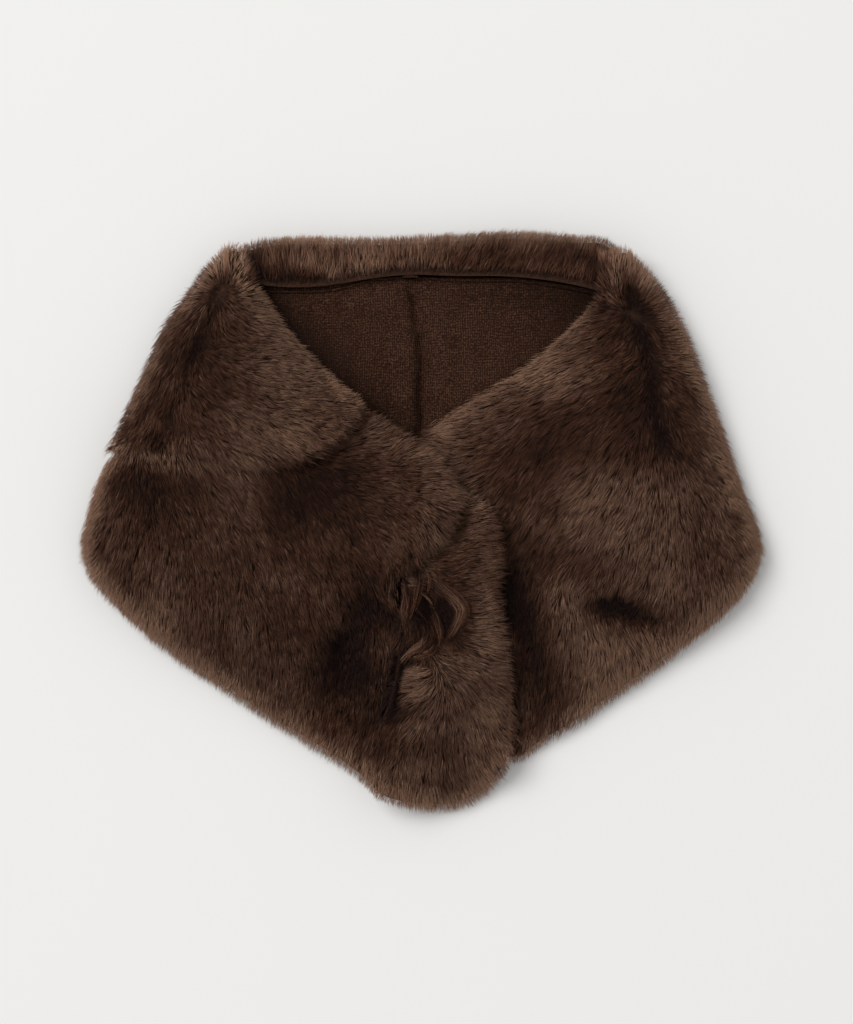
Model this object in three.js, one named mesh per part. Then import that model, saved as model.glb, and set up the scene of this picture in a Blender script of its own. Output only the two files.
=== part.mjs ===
// A fur collar wrap laid flat, fronts crossed, with one end pulled through the other.
// Millimetres, +Z up. +X is the right of the wrap as it is looked down on, +Y its neck edge.
// The solids are the fur with its pile: a long rounded edge, a pressed layer where another lies on it.
import * as THREE from "three";

// Driving sizes
const PILE = 16; // fur wall, pelt and standing pile
const PRESSED = 8; // fur wall where another layer lies on it
const TUCKED = 6.5; // fur wall where it is drawn in under an edge
const BACK = 10; // back panel, pile down and pressed by its own weight
const KNIT = 1.8; // knitted lining
const GAP = 0.3; // between pieces at a seam
const CLEAR = 1; // under a layer that bridges the one below
const EDGE = 13; // how far in from its edge a fur wall reaches its full height
const UNDERCUT = 7; // how far in from its edge it meets what it lies on
const EDGE_TOP = 0.4; // share of the height where the edge's side begins
const EDGE_FOOT = 0.24; // share of the height where it ends below
const THINNEST = 3; // least wall left under a trough
const RAMP = 14; // plan length over which a layer's underside climbs onto another
const DRAPE = 60; // plan length over which the fur's face sinks from the back's edge to the surface below
const ROLL = 25; // height of the fur turned over at the neck edge
const ROLL_HALF = 107; // half the length of that fur, pressed thin over its last ROLL_TAPER
const ROLL_TAPER = 30;
const SLIT_Y = -38; // where the pulled end comes up between the lips of the slit
const FLUSH_FROM = 110; // left of the middle, where the shoulder begins to sink flush with the left front
const FLUSH_TO = 170; // and where it is flush, at the side fold
const PRESS_OUT = 9; // how far outside a layer's edge the fur below begins to be pressed
const PRESS_IN = 5; // and how far inside it is pressed down
const KNIT_ROWS = 1; // rows of the back panel left bare beyond the lining
const KNIT_COLUMNS = 2; // columns of it, at either side

// Each row is one section of a piece: in is its end on the neck side, out its end on the outer side.
// bowIn and bowOut bend the section towards the next row, at a quarter and at seven tenths of its width.
const row = (inX, inY, outX, outY, bowIn = 0, bowOut = 0) => ({ inX, inY, outX, outY, bowIn, bowOut });

const BACK_ROWS = [
  row(-92, 146, 100, 145),
  row(-114, 125, 123, 125),
  row(-132, 104, 136, 105),
  row(-143, 82, 145, 84),
  row(-152, 61, 153, 62),
  row(-163, 37, 161, 38),
  row(-173, 9, 170, 10),
  row(-178, -13, 178, -13, 6, 6),
  row(-165, -32, 166, -32, 21, 20),
];
const NECK_ROWS = [
  row(-102, 140, -107, 161),
  row(-87, 137, -94, 165),
  row(-60, 137, -65, 167),
  row(-27, 142, -30, 166),
  row(-6, 144, -6, 167),
  row(19, 143, 19, 168),
  row(48, 143, 51, 170),
  row(78, 140, 80, 169),
  row(97, 136, 101, 165),
  row(110, 132, 117, 159),
];
const RIGHT_FRONT_ROWS = [
  row(107, 155, 118, 161),
  row(105, 138, 131, 150),
  row(97, 123, 143, 135),
  row(86, 110, 153, 117),
  row(71, 97, 161, 97),
  row(51, 81, 169, 74),
  row(30, 70, 177, 51),
  row(10, 59, 186, 23),
  row(-5, 49, 194, 2),
  row(-12, 35, 200, -17),
  row(-9, 19, 195, -32),
  row(1, 2, 180, -52),
  row(9, -18, 155, -72),
  row(14, -42, 133, -90),
  row(18, -70, 109, -106),
  row(22, -99, 90, -120),
  row(29, -121, 71, -130),
  row(39, -137, 57, -140),
];
const PULLED_END_ROWS = [
  row(1, 9, 32, 13),
  row(-6, -5, 43, 4),
  row(-11, -20, 47, -12),
  row(-12, -34, 47, -32),
  row(-12, -50, 46, -49),
  row(-15, -67, 50, -67),
  row(-18, -84, 53, -86),
  row(-22, -105, 54, -107),
  row(-28, -125, 54, -128),
  row(-33, -141, 50, -144),
  row(-28, -156, 42, -157),
  row(-11, -166, 27, -166),
  row(1, -169, 15, -169),
];
const LEFT_FRONT_ROWS = [
  row(-43, 73, -174, 49, 15, 0),
  row(-30, 66, -185, 34, 14, 0),
  row(-15, 58, -191, 17, 8, 0),
  row(1, 46, -196, 1, 3, 0),
  row(15, 33, -200, -16),
  row(23, 17, -196, -31),
  row(20, -1, -184, -45),
  row(10, -16, -163, -65),
  row(-6, -27, -133, -89),
  row(-18, -37, -113, -101),
  row(-8, -53, -94, -115),
  row(6, -78, -72, -128),
  row(12, -104, -51, -141),
  row(13, -131, -30, -153),
  row(10, -148, -13, -161),
];
const LEFT_SHOULDER_ROWS = [
  row(-105, 163, -114, 162),
  row(-100, 151, -126, 151),
  row(-92, 136, -137, 135),
  row(-77, 113, -152, 113),
  row(-59, 93, -160, 93),
  row(-45, 78, -169, 73, 4, 0),
  row(-34, 69, -178, 52, 12, -1),
  row(-35, 62, -185, 36, 21, -2),
];

// Soft ridges (height over 0) and troughs (under 0): a line on the plan, its width to one side, its height.
const fold = (fromX, fromY, toX, toY, width, height) => ({ fromX, fromY, toX, toY, width, height });
const BACK_FOLDS = [fold(-5, 118, -6, 70, 9, -2), fold(-6, 70, -6, 20, 10, -4.5)];
const RIGHT_FRONT_FOLDS = [
  fold(130, 128, 142, 100, 7, -4),
  fold(142, 100, 140, 78, 7, -4.5),
  fold(140, 78, 162, 52, 7, -4),
  fold(162, 52, 190, 8, 7, -3),
  fold(104, -47, 126, -58, 11, -8),
  fold(60, -28, 61, -60, 9, -5),
  fold(62, -60, 60, -112, 8, -5),
  fold(84, -40, 82, -70, 11, 2.5),
  fold(28, 56, 44, 30, 7, 2),
  fold(62, 42, 80, 18, 14, -2.5),
];
const PULLED_END_FOLDS = [
  fold(4, -42, 12, -68, 8, -7),
  fold(18, -38, 27, -52, 5, 3.5),
  fold(27, -52, 20, -72, 5, 3.5),
  fold(20, -72, 2, -78, 5, 3),
  fold(-4, -98, -2, -116, 9, 2.5),
  fold(-12, -72, -14, -118, 6, -3),
];
const LEFT_FRONT_FOLDS = [
  fold(-86, 18, -70, 0, 20, -6),
  fold(-154, 44, -172, 22, 7, -3),
  fold(-30, -46, -46, -72, 13, -7.5),
  fold(-46, -72, -50, -104, 13, -7),
  fold(6, -6, -46, -40, 11, 3),
  fold(-46, -40, -72, -76, 12, 2.5),
  fold(-20, 28, 12, 22, 12, 1.5),
];
const LEFT_SHOULDER_FOLDS = [
  fold(-114, 132, -132, 104, 7, -3.5),
  fold(-132, 104, -152, 50, 7, -4),
  fold(-126, 45, -72, 54, 6, -3),
];

// Soft step from 0 at low to 1 at high.
const step = THREE.MathUtils.smoothstep;

// Cubic through the ends of a section and its two bows.
function bowAt(share, bowIn, bowOut) {
  const IN = 0.25;
  const OUT = 0.7;
  const nearIn = (share * (share - OUT) * (share - 1)) / (IN * (IN - OUT) * (IN - 1));
  const nearOut = (share * (share - IN) * (share - 1)) / (OUT * (OUT - IN) * (OUT - 1));
  return bowIn * nearIn + bowOut * nearOut;
}

// Places along a length: close together at both ends, where the wall rounds over, and even between.
function stations(length, spans) {
  const edge = Math.min(EDGE, length / 4);
  const rim = [0, 0.2, 0.55, 1].map((share) => share * edge);
  const inside = [];
  for (let i = 1; i < spans; i++) inside.push(edge + ((length - 2 * edge) * i) / spans);
  return [...rim, ...inside, ...rim.map((at) => length - at).reverse()];
}
const spansIn = (length, pitch) => Math.max(1, Math.round((length - 2 * EDGE) / pitch));

// A piece's plan: a grid of points, row by row, from the table of its sections.
function layOut(rows, pitch) {
  const track = (a, b) =>
    new THREE.CatmullRomCurve3(rows.map((r) => new THREE.Vector3(r[a], r[b], 0)), false, "centripetal");
  const inner = track("inX", "inY");
  const outer = track("outX", "outY");
  const bows = new THREE.LineCurve3(new THREE.Vector3(), new THREE.Vector3());
  const last = rows.length - 1;
  const middles = rows.map((r) => new THREE.Vector2(r.inX + r.outX, r.inY + r.outY).multiplyScalar(0.5));
  const along = [0];
  for (let i = 1; i <= last; i++) along.push(along[i - 1] + middles[i].distanceTo(middles[i - 1]));
  const widest = Math.max(...rows.map((r) => Math.hypot(r.inX - r.outX, r.inY - r.outY)));

  const grid = stations(along[last], spansIn(along[last], pitch)).map((distance) => {
    let i = 0;
    while (i < last - 1 && along[i + 1] < distance) i++;
    const part = THREE.MathUtils.clamp((distance - along[i]) / (along[i + 1] - along[i]), 0, 1);
    const a = inner.getPoint((i + part) / last);
    const b = outer.getPoint((i + part) / last);
    const width = a.distanceTo(b);
    bows.v1.set(rows[i].bowIn, rows[i].bowOut, 0);
    bows.v2.set(rows[i + 1].bowIn, rows[i + 1].bowOut, 0);
    const bow = bows.getPoint(part);
    const across = b.clone().sub(a).divideScalar(width);
    const ahead = new THREE.Vector3(-across.y, across.x, 0);
    const before = middles[i];
    const after = middles[i + 1];
    if (ahead.x * (after.x - before.x) + ahead.y * (after.y - before.y) < 0) ahead.negate();
    return stations(width, spansIn(widest, pitch)).map((at) => {
      const share = at / width;
      const point = a.clone().addScaledVector(across, at);
      return point.addScaledVector(ahead, bowAt(share, bow.x, bow.y));
    });
  });

  const between = grid.slice(1, -1);
  const outline = [
    ...grid[0],
    ...between.map((points) => points.at(-1)),
    ...grid.at(-1).slice().reverse(),
    ...between.map((points) => points[0]).reverse(),
  ];
  return { grid, outline, depth: netted((x, y) => depthIn(outline, x, y)) };
}

// A value over the plan, worked out once at each crossing of a net and even between them.
function netted(valueAt) {
  const NET = 4;
  const known = new Map();
  const crossing = (i, j) => {
    const key = i * 1000 + j;
    if (!known.has(key)) known.set(key, valueAt(i * NET, j * NET));
    return known.get(key);
  };
  return (x, y) => {
    const i = Math.floor(x / NET);
    const j = Math.floor(y / NET);
    const near = THREE.MathUtils.lerp(crossing(i, j), crossing(i + 1, j), x / NET - i);
    const far = THREE.MathUtils.lerp(crossing(i, j + 1), crossing(i + 1, j + 1), x / NET - i);
    return THREE.MathUtils.lerp(near, far, y / NET - j);
  };
}

// How far a plan point lies inside an outline, or outside it as a negative distance.
function depthIn(outline, x, y) {
  let nearest = Infinity;
  let inside = false;
  outline.forEach((a, i) => {
    const b = outline[(i + 1) % outline.length];
    const dx = b.x - a.x;
    const dy = b.y - a.y;
    const part = THREE.MathUtils.clamp(((x - a.x) * dx + (y - a.y) * dy) / (dx * dx + dy * dy), 0, 1);
    nearest = Math.min(nearest, Math.hypot(x - a.x - part * dx, y - a.y - part * dy));
    if (a.y > y !== b.y > y && x < a.x + ((y - a.y) * dx) / dy) inside = !inside;
  });
  return inside ? nearest : -nearest;
}

// The height that a table's ridges and troughs add at a plan point.
function relief(folds, x, y) {
  let sum = 0;
  for (const f of folds) {
    const dx = f.toX - f.fromX;
    const dy = f.toY - f.fromY;
    const part = THREE.MathUtils.clamp(((x - f.fromX) * dx + (y - f.fromY) * dy) / (dx * dx + dy * dy), 0, 1);
    const away = Math.hypot(x - f.fromX - part * dx, y - f.fromY - part * dy);
    sum += f.height * Math.exp(-((away / f.width) ** 2));
  }
  return sum;
}

// Quarter round: 0 at the edge, 1 from reach inwards.
const round = (depth, reach) => Math.sqrt(1 - (1 - THREE.MathUtils.clamp(depth / reach, 0, 1)) ** 2);

// A closed wall over a grid of plan points, from the heights of its top and its underside.
function wall(grid, topAt, footAt) {
  const columns = grid[0].length;
  const points = [];
  for (const heightAt of [topAt, footAt]) {
    grid.forEach((line) => line.forEach((p) => points.push(p.x, p.y, heightAt(p.x, p.y))));
  }
  const top = (i, j) => i * columns + j;
  const foot = (i, j) => grid.length * columns + top(i, j);
  const faces = [];
  const quad = (a, b, c, d) => faces.push(a, b, c, a, c, d);
  const ends = grid.length - 1;
  const sides = columns - 1;
  for (let i = 0; i < ends; i++) {
    for (let j = 0; j < sides; j++) {
      quad(top(i, j), top(i + 1, j), top(i + 1, j + 1), top(i, j + 1));
      quad(foot(i, j), foot(i, j + 1), foot(i + 1, j + 1), foot(i + 1, j));
    }
    quad(top(i, 0), foot(i, 0), foot(i + 1, 0), top(i + 1, 0));
    quad(top(i, sides), top(i + 1, sides), foot(i + 1, sides), foot(i, sides));
  }
  for (let j = 0; j < sides; j++) {
    quad(top(0, j), top(0, j + 1), foot(0, j + 1), foot(0, j));
    quad(top(ends, j), foot(ends, j), foot(ends, j + 1), top(ends, j + 1));
  }
  const [a, b, c] = [grid[0][0], grid[ends][0], grid[ends][sides]];
  if ((b.x - a.x) * (c.y - a.y) - (b.y - a.y) * (c.x - a.x) < 0) faces.reverse();
  const geometry = new THREE.BufferGeometry();
  geometry.setAttribute("position", new THREE.Float32BufferAttribute(points, 3));
  geometry.setIndex(faces);
  geometry.computeVertexNormals();
  return geometry;
}

// A fur piece, from its plan, its level, the top of its full wall, and its floor, what it lies on.
function furWall({ grid, outline }, levelAt, floorAt) {
  const footAt = (x, y) => {
    const floor = floorAt(x, y);
    const lifted = 1 - round(depthIn(outline, x, y), UNDERCUT);
    return floor + EDGE_FOOT * Math.min(PILE, levelAt(x, y) - floor) * lifted;
  };
  const topAt = (x, y) => {
    const floor = floorAt(x, y);
    const share = EDGE_TOP + (1 - EDGE_TOP) * round(depthIn(outline, x, y), EDGE);
    return Math.max(floor + share * (levelAt(x, y) - floor), footAt(x, y) + THINNEST);
  };
  return wall(grid, topAt, footAt);
}

// The height at which a layer has to pass over a lower one, climbing onto it over RAMP.
function over(lower, levelAt) {
  const LOOK = 7; // how far round a point the lower layer is felt, so that flat faces stay clear of it
  return netted((x, y) => {
    let highest = levelAt(x, y);
    for (let turn = 0; turn < 8; turn++) {
      const angle = (turn * Math.PI) / 4;
      highest = Math.max(highest, levelAt(x + LOOK * Math.cos(angle), y + LOOK * Math.sin(angle)));
    }
    return (highest + CLEAR) * step(lower.depth(x, y), -RAMP, -1);
  });
}

// Plans
const plan = {
  back: layOut(BACK_ROWS, 18),
  neck: layOut(NECK_ROWS, 11),
  rightFront: layOut(RIGHT_FRONT_ROWS, 12),
  pulledEnd: layOut(PULLED_END_ROWS, 10),
  leftFront: layOut(LEFT_FRONT_ROWS, 12),
  leftShoulder: layOut(LEFT_SHOULDER_ROWS, 12),
};

// Heights of the full walls, from the lowest layer up
const backTop = (x, y) => BACK + relief(BACK_FOLDS, x, y);
const liningTop = () => BACK + GAP + KNIT;
const overBack = over(plan.back, liningTop);

const neckTop = (x) => ROLL - (ROLL - BACK - TUCKED) * step(Math.abs(x), ROLL_HALF - ROLL_TAPER, ROLL_HALF);
const overNeck = over(plan.neck, neckTop);

// Past the back's edge the underside is soon on the surface below, and the face sinks slowly.
const drape = (x, y) => (liningTop() + CLEAR) * step(plan.back.depth(x, y), -DRAPE, 0);
function pileUnder(upper, pressed, x, y) {
  return PILE - (PILE - pressed) * step(upper.depth(x, y), -PRESS_OUT, PRESS_IN);
}

const rightFrontFloor = (x, y) => Math.max(overBack(x, y), overNeck(x, y));
function rightFrontTop(x, y) {
  const pile = Math.min(pileUnder(plan.leftFront, PRESSED, x, y), pileUnder(plan.pulledEnd, PRESSED, x, y));
  return Math.max(rightFrontFloor(x, y), drape(x, y)) + pile + relief(RIGHT_FRONT_FOLDS, x, y);
}
const overRightFront = over(plan.rightFront, rightFrontTop);

// Above the slit the pulled end lies under the upper lip, and below it on the lower lip.
const aboveSlit = (y) => step(y, SLIT_Y - 8, SLIT_Y + 5);
const belowSlit = (y) => step(SLIT_Y - y, -2, 12);
const rootFloor = (x, y) => Math.max(overBack(x, y), overRightFront(x, y));
const overRoot = over(plan.pulledEnd, (x, y) => rootFloor(x, y) + TUCKED);

const leftFrontFloor = (x, y) => Math.max(rootFloor(x, y), overRoot(x, y) * aboveSlit(y));
function leftFrontTop(x, y) {
  const underEnd = PILE - (PILE - pileUnder(plan.pulledEnd, PRESSED, x, y)) * belowSlit(y);
  const pile = Math.min(pileUnder(plan.leftShoulder, TUCKED, x, y), underEnd);
  return Math.max(leftFrontFloor(x, y), drape(x, y)) + pile + relief(LEFT_FRONT_FOLDS, x, y);
}
const overLeftFront = over(plan.leftFront, leftFrontTop);

const pulledEndFloor = (x, y) => Math.max(rootFloor(x, y), overLeftFront(x, y) * belowSlit(y));
function pulledEndTop(x, y) {
  const tucked = step(plan.leftFront.depth(x, y), -RAMP, -2) * aboveSlit(y);
  const pile = PILE - (PILE - TUCKED) * tucked;
  return pulledEndFloor(x, y) + pile + relief(PULLED_END_FOLDS, x, y) * (1 - tucked);
}

const leftShoulderFloor = (x, y) => Math.max(overBack(x, y), overNeck(x, y), overLeftFront(x, y));
function leftShoulderTop(x, y) {
  const flush = step(-x, FLUSH_FROM, FLUSH_TO);
  const pile = PILE - (PILE - PRESSED) * flush * step(plan.leftFront.depth(x, y), -PRESS_OUT, PRESS_IN);
  return Math.max(leftShoulderFloor(x, y), drape(x, y)) + pile + relief(LEFT_SHOULDER_FOLDS, x, y);
}

// The lining is made from the back panel's own points, moved out.
function liningWall() {
  const rows = plan.back.grid.slice(KNIT_ROWS, -KNIT_ROWS);
  const grid = rows.map((line) => line.slice(KNIT_COLUMNS, -KNIT_COLUMNS));
  const backPanelTop = (x, y) => {
    const share = EDGE_TOP + (1 - EDGE_TOP) * round(depthIn(plan.back.outline, x, y), EDGE);
    return share * backTop(x, y);
  };
  return wall(
    grid,
    (x, y) => backPanelTop(x, y) + GAP + KNIT,
    (x, y) => backPanelTop(x, y) + GAP,
  );
}

const fur = (tone) => new THREE.MeshStandardMaterial({ color: tone, roughness: 0.9, metalness: 0 });
const knit = new THREE.MeshStandardMaterial({ color: 0x35261c, roughness: 0.95, metalness: 0 });

const wrap = new THREE.Group();
function piece(name, geometry, material) {
  const mesh = new THREE.Mesh(geometry, material);
  mesh.name = name;
  wrap.add(mesh);
}
const floorLevel = () => 0;
piece("back_panel", furWall(plan.back, backTop, floorLevel), fur(0x3a2a22));
piece("back_lining", liningWall(), knit);
piece("neck_turnover", furWall(plan.neck, neckTop, overBack), fur(0x46342b));
piece("right_front", furWall(plan.rightFront, rightFrontTop, rightFrontFloor), fur(0x443229));
piece("pulled_end", furWall(plan.pulledEnd, pulledEndTop, pulledEndFloor), fur(0x4a372d));
piece("left_front", furWall(plan.leftFront, leftFrontTop, leftFrontFloor), fur(0x402f26));
piece("left_shoulder", furWall(plan.leftShoulder, leftShoulderTop, leftShoulderFloor), fur(0x443229));

// The origin is set at the middle of the footprint, on the surface below.
const box = new THREE.Box3().setFromObject(wrap);
const middle = box.getCenter(new THREE.Vector3());
wrap.position.set(-middle.x, -middle.y, -box.min.z);

export default wrap;
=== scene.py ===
# The fur collar wrap laid flat: pelts with their standing pile, and the knit lining in its neck opening
import math
import bpy
import numpy as np
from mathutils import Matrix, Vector
from mathutils.bvhtree import BVHTree
from mathutils.kdtree import KDTree


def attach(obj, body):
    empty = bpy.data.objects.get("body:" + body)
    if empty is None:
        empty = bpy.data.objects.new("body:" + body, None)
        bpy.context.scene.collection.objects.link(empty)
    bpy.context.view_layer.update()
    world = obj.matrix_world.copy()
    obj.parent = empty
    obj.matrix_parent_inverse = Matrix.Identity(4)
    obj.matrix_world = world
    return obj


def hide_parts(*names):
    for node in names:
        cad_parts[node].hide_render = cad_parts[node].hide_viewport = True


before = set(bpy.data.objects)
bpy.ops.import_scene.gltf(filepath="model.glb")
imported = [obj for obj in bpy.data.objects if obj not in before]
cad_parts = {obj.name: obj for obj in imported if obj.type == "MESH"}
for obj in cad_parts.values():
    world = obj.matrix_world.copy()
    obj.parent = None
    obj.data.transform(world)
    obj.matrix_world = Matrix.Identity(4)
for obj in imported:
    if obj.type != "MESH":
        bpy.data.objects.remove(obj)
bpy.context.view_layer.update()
bpy.ops.object.select_all(action="DESELECT")

MM = 0.001
DICE = np.random.default_rng(11)

# The photograph's frame, read in its own pixels
PHOTO_WIDTH = 853
PHOTO_HEIGHT = 1024
PIXEL = 0.584 * MM  # real size of one pixel on the wrap
MIDDLE_COLUMN = 422.5  # where the middle of the wrap lies in the photograph
MIDDLE_ROW = 522.0

# The pelt under the pile
SKIN_DEPTH = 6.5 * MM  # from the tips of the pile down to the underfur
SKIN_INSET = 5.0 * MM  # how much further in the underfur ends than the tips, where they point outward
INSET_INWARD = 0.3  # the share of that where they point along the edge
REACHING_KEPT = 0.8  # and how much of it is spared where tips reach further over the edge
BLUNT_INSET = 8.0 * MM  # how much further in it ends at a corner that is blunt
INSET_REACH = 30.0 * MM  # how far in from the edge that is felt
LEVEL_KEPT = 0.9  # the share of its depth that is spared at a level seam
THINNEST_SKIN = 1.5 * MM
UPWARD = 1e-4  # the least slope that counts as facing up

# The strands
DEEPEST_ROOTS = -0.35  # no pile grows where the skin faces further down than this
FOLDED_UNDER = -0.72  # nor where the turned-over edge faces further back than this
HAIR_LENGTH = 12.0 * MM
LENGTH_SHARES = (0.75, 1.1)  # the shortest and longest strands, as shares of that
LENGTH_WAVES = [(0.08, 24 * MM, 5)]  # how much longer and shorter the pile is, from place to place
FULL_DIP = 4.0 * MM  # a hollow this deep or deeper has the shortest pile
SHORTER_IN_DIPS = 0.3  # and this is how much shorter that is
STEEP = 0.5  # a skin that faces up less than this is a steep side
POINTS_INWARD = -0.2  # a nap that points outward less than this points inward
SHORT_ON_SIDES = 0.55  # the share of its length on a steep side whose nap points inward
HAIR_HALF = 0.19 * MM  # half the thickness of a strand, which stands for a few hairs stuck together
HALF_SHARES = (0.75, 1.25)  # the thinnest and thickest, as shares of that
HAIRS_PER_MM2 = 1.42
ROOT_LIFT = 44.0  # degrees off the skin at the root
TIP_LIFT = 10.0  # and towards the tip
LIFT_SPREAD = 6.0  # how much those differ from strand to strand
BEND_AT = 0.45  # where along a strand it bends
NAP_WAVES = [(0.16, 17 * MM, 3), (0.17, 7.5 * MM, 4)]  # how far the nap wanders, from place to place
NAP_SPREAD = 0.12  # and from strand to strand
SETTLING = 0.7  # how far the nap turns level where the skin falls away

# The locks that strands lie in
LOCKS = [
    # strands whose roots are this near lean together, and how far their tips are drawn together
    (2.0 * MM, 0.3),
    (5.5 * MM, 0.16),
]
BEND_PULL = 0.4  # the share of that by which their bends are
LOCK_EDGE = 1.6  # how quickly a strand stops being in the middle of its lock
HOLD_REACH = 24.0 * MM  # how far in from the edge the locks hold fully
LEAST_HOLD = 0.15  # how much they hold at the edge itself
FOLD_HOLD = 0.6  # how much they hold on the turned-over edge
LOCK_TONE = 0.07  # how much lighter the middle of a lock is painted than its edges: painted shade in the gaps between locks

# How light strands are, from 0 to 1
MIDDLE_TONE = 0.5
TONE_WAVES = [(0.1, 30 * MM, 7), (0.07, 6 * MM, 8)]  # how much lighter and darker, from place to place
TONE_SPREAD = 0.1  # and from strand to strand
TONE_RANGE = (0.03, 0.97)
ROOT_DEPTH, BEND_DEPTH, TIP_DEPTH = 0.03, 0.45, 0.97  # from dark to light along a strand: the dark root is partly the hair's own colour and partly painted shade of the pile's depth
BARE_DEPTH = 0.4  # how much lighter the bend of a strand with a bare root is, where less painted shade is put on it
FRINGE_TONE = 0.6  # how much lighter the pile looks at the wrap's outline, where light comes through it
FOLD_FRINGE = 0.5  # the share of that on the turned-over edge
FRINGE_WIDTH = 11.5 * MM
FRINGE_THIN = 0.64  # the share of its thickness that a strand at the very outline has
BARE_ROOTS = 16.0 * MM  # how far in from an edge roots show, where the pile points away from that edge
BARE_INWARD = 0.55  # how much lighter a root is painted there, where it is in the open and takes less painted shade
BARE_RIM = 0.45  # and at the wrap's outline, as painted light where light comes through the pile

# The fringe, which ends at the wrap's outline
FRINGE = (-7.5 * MM, -1.0 * MM, 3.8 * MM)  # how far past the outline tips reach: least, most often and most
LAPPED = 4.0 * MM  # this far inside another piece's outline an edge isn't the wrap's own
OVERLAP = 3.5 * MM  # how much further tips reach over such an edge
LEVEL_OVERLAP = 8.0 * MM  # and more where two pieces meet level
TRIM_STEPS = (0.9, 0.8, 0.7, 0.6, 0.5, 0.4)  # the shares of its length that a strand is cut back to
FLOOR_CLEAR = 0.5 * MM  # the lowest that a strand lies

# Measures for the meshes
TRIANGLES_A_STRAND = 6
POINTS_A_STRAND = 5
MOST_STRANDS = 199_000 // TRIANGLES_A_STRAND
SAME_DISTANCE = 0.001 * MM
SAME_POINT = 0.01 * MM
PLAN_GRID = 0.02 * MM  # places on the plan that are nearer than this are one
FOOT_GRID = 0.05 * MM  # and here when a point's foot on the underside is looked for
QUAD_ANGLE = math.radians(60)  # how far from flat, or square, two triangles may be to make a quad
EDGE_BLEND = 3.0 * MM  # how far the outline's outward direction is blended
NAP_BLEND = 4.0 * MM  # and the nap
NOISE_WAVES = 6
NOISE_SIZE = 3.5  # what so many waves add up to, at most times


def on_plan(column, row):
    """The place on the wrap of a pixel of the photograph, in metres."""
    return ((column - MIDDLE_COLUMN) * PIXEL, (MIDDLE_ROW - row) * PIXEL)


def nap(column, row, heading):
    """Which way the pile lies at a pixel of the photograph: 0 is right, 90 is up, towards the neck edge."""
    x, y = on_plan(column, row)
    return (x, y, math.radians(heading))


def patch(column, row, half_width, half_height, tone):
    """A patch of the pile around a pixel of the photograph that is painted lighter or darker than the rest:
    a painted highlight when lighter, painted shade when darker.
    """
    x, y = on_plan(column, row)
    return (x, y, half_width * PIXEL, half_height * PIXEL, tone)


def line(half_width, value, *pixels):
    """A value along a line through pixels of the photograph, which fades away on both of its sides."""
    places = [np.array(on_plan(*pixel)) for pixel in pixels]
    return [(start, end, half_width * PIXEL, value) for start, end in zip(places, places[1:])]


# Where the pile of two pieces meets level and hides the seam between them: 1 is wholly
LEVEL_SEAMS = [
    *line(16, 1.0, (102, 462), (130, 450), (160, 444), (190, 446), (230, 456), (262, 464)),
    *line(20, 1.0, (391, 728), (386, 750), (370, 805)),
    *line(13, 1.0, (602, 240), (608, 292)),
    *line(8, 0.8, (401, 596), (402, 636)),
    *line(8, 0.7, (462, 500), (480, 506)),
]
# How deep the pile dips
HOLLOWS = [
    *line(12, 8.0 * MM, (602, 600), (626, 604), (656, 618)),
    *line(9, 3.5 * MM, (628, 305), (641, 340), (648, 372), (651, 412), (664, 446)),
    *line(9, 2.5 * MM, (664, 446), (714, 474)),
    *line(9, 2.5 * MM, (222, 296), (212, 316), (190, 362), (160, 444)),
    *line(8, 3.0 * MM, (404, 645), (396, 675), (390, 712)),
    *line(22, 3.5 * MM, (352, 600), (350, 690)),
    *line(9, 6.0 * MM, (440, 600), (450, 632)),
    *line(5, 5.0 * MM, (422, 576), (424, 592)),
    *line(14, 2.5 * MM, (522, 560), (522, 740)),
]
# Which corners the pelt ends short of: 1 is wholly
BLUNT = line(10, 1.0, (96, 452), (106, 456))
# Where tips reach further over an edge, or less far, as a share of the overlap
REACHING = [
    *line(9, 1.4, (466, 410), (500, 384), (545, 350), (590, 314)),
    *line(8, 1.2, (334, 382), (362, 400)),
    *line(8, 0.25, (256, 246), (300, 240), (400, 236), (500, 238), (596, 246)),
    *line(8, 0.9, (503, 757), (524, 752)),
    *line(8, -0.9, (512, 655), (514, 705)),
    *line(8, -0.9, (501, 576), (505, 606)),
]
# How much darker the pile is painted along lines: mostly painted shade, and in places the dark underfur
# where the pile is parted down to it
PAINTED_SHADE_AND_PARTINGS = [
    *line(6, -0.42, (626, 300), (641, 340), (648, 372), (651, 412), (664, 446)),
    *line(6, -0.26, (664, 446), (700, 462), (722, 484)),
    *line(5, -0.3, (724, 508), (752, 534)),
    *line(6, -0.34, (222, 294), (212, 316), (190, 362), (176, 405), (160, 444)),
    *line(5, -0.45, (410, 640), (401, 668), (395, 712)),
    *line(9, -0.6, (441, 600), (450, 632)),
    *line(5, -0.6, (421, 576), (424, 592)),
    *line(4, -0.5, (412, 596), (414, 612)),
    *line(7, -0.2, (252, 291), (320, 290)),
    *line(6, -0.14, (470, 281), (515, 283), (565, 288), (606, 298)),
    *line(11, -0.54, (214, 262), (196, 284), (165, 334), (136, 390), (116, 432)),
    *line(5, -0.4, (250, 284), (322, 284)),
    *line(4, -0.26, (367, 413), (353, 431)),
    *line(6, -0.4, (602, 594), (628, 600)),
    *line(14, -0.2, (372, 745), (385, 775)),
    *line(7, -0.3, (507, 574), (507, 606)),
    *line(8, -0.18, (450, 268), (530, 270), (590, 276)),
    *line(10, -0.24, (656, 282), (676, 318), (690, 350), (706, 392)),
]
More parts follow.
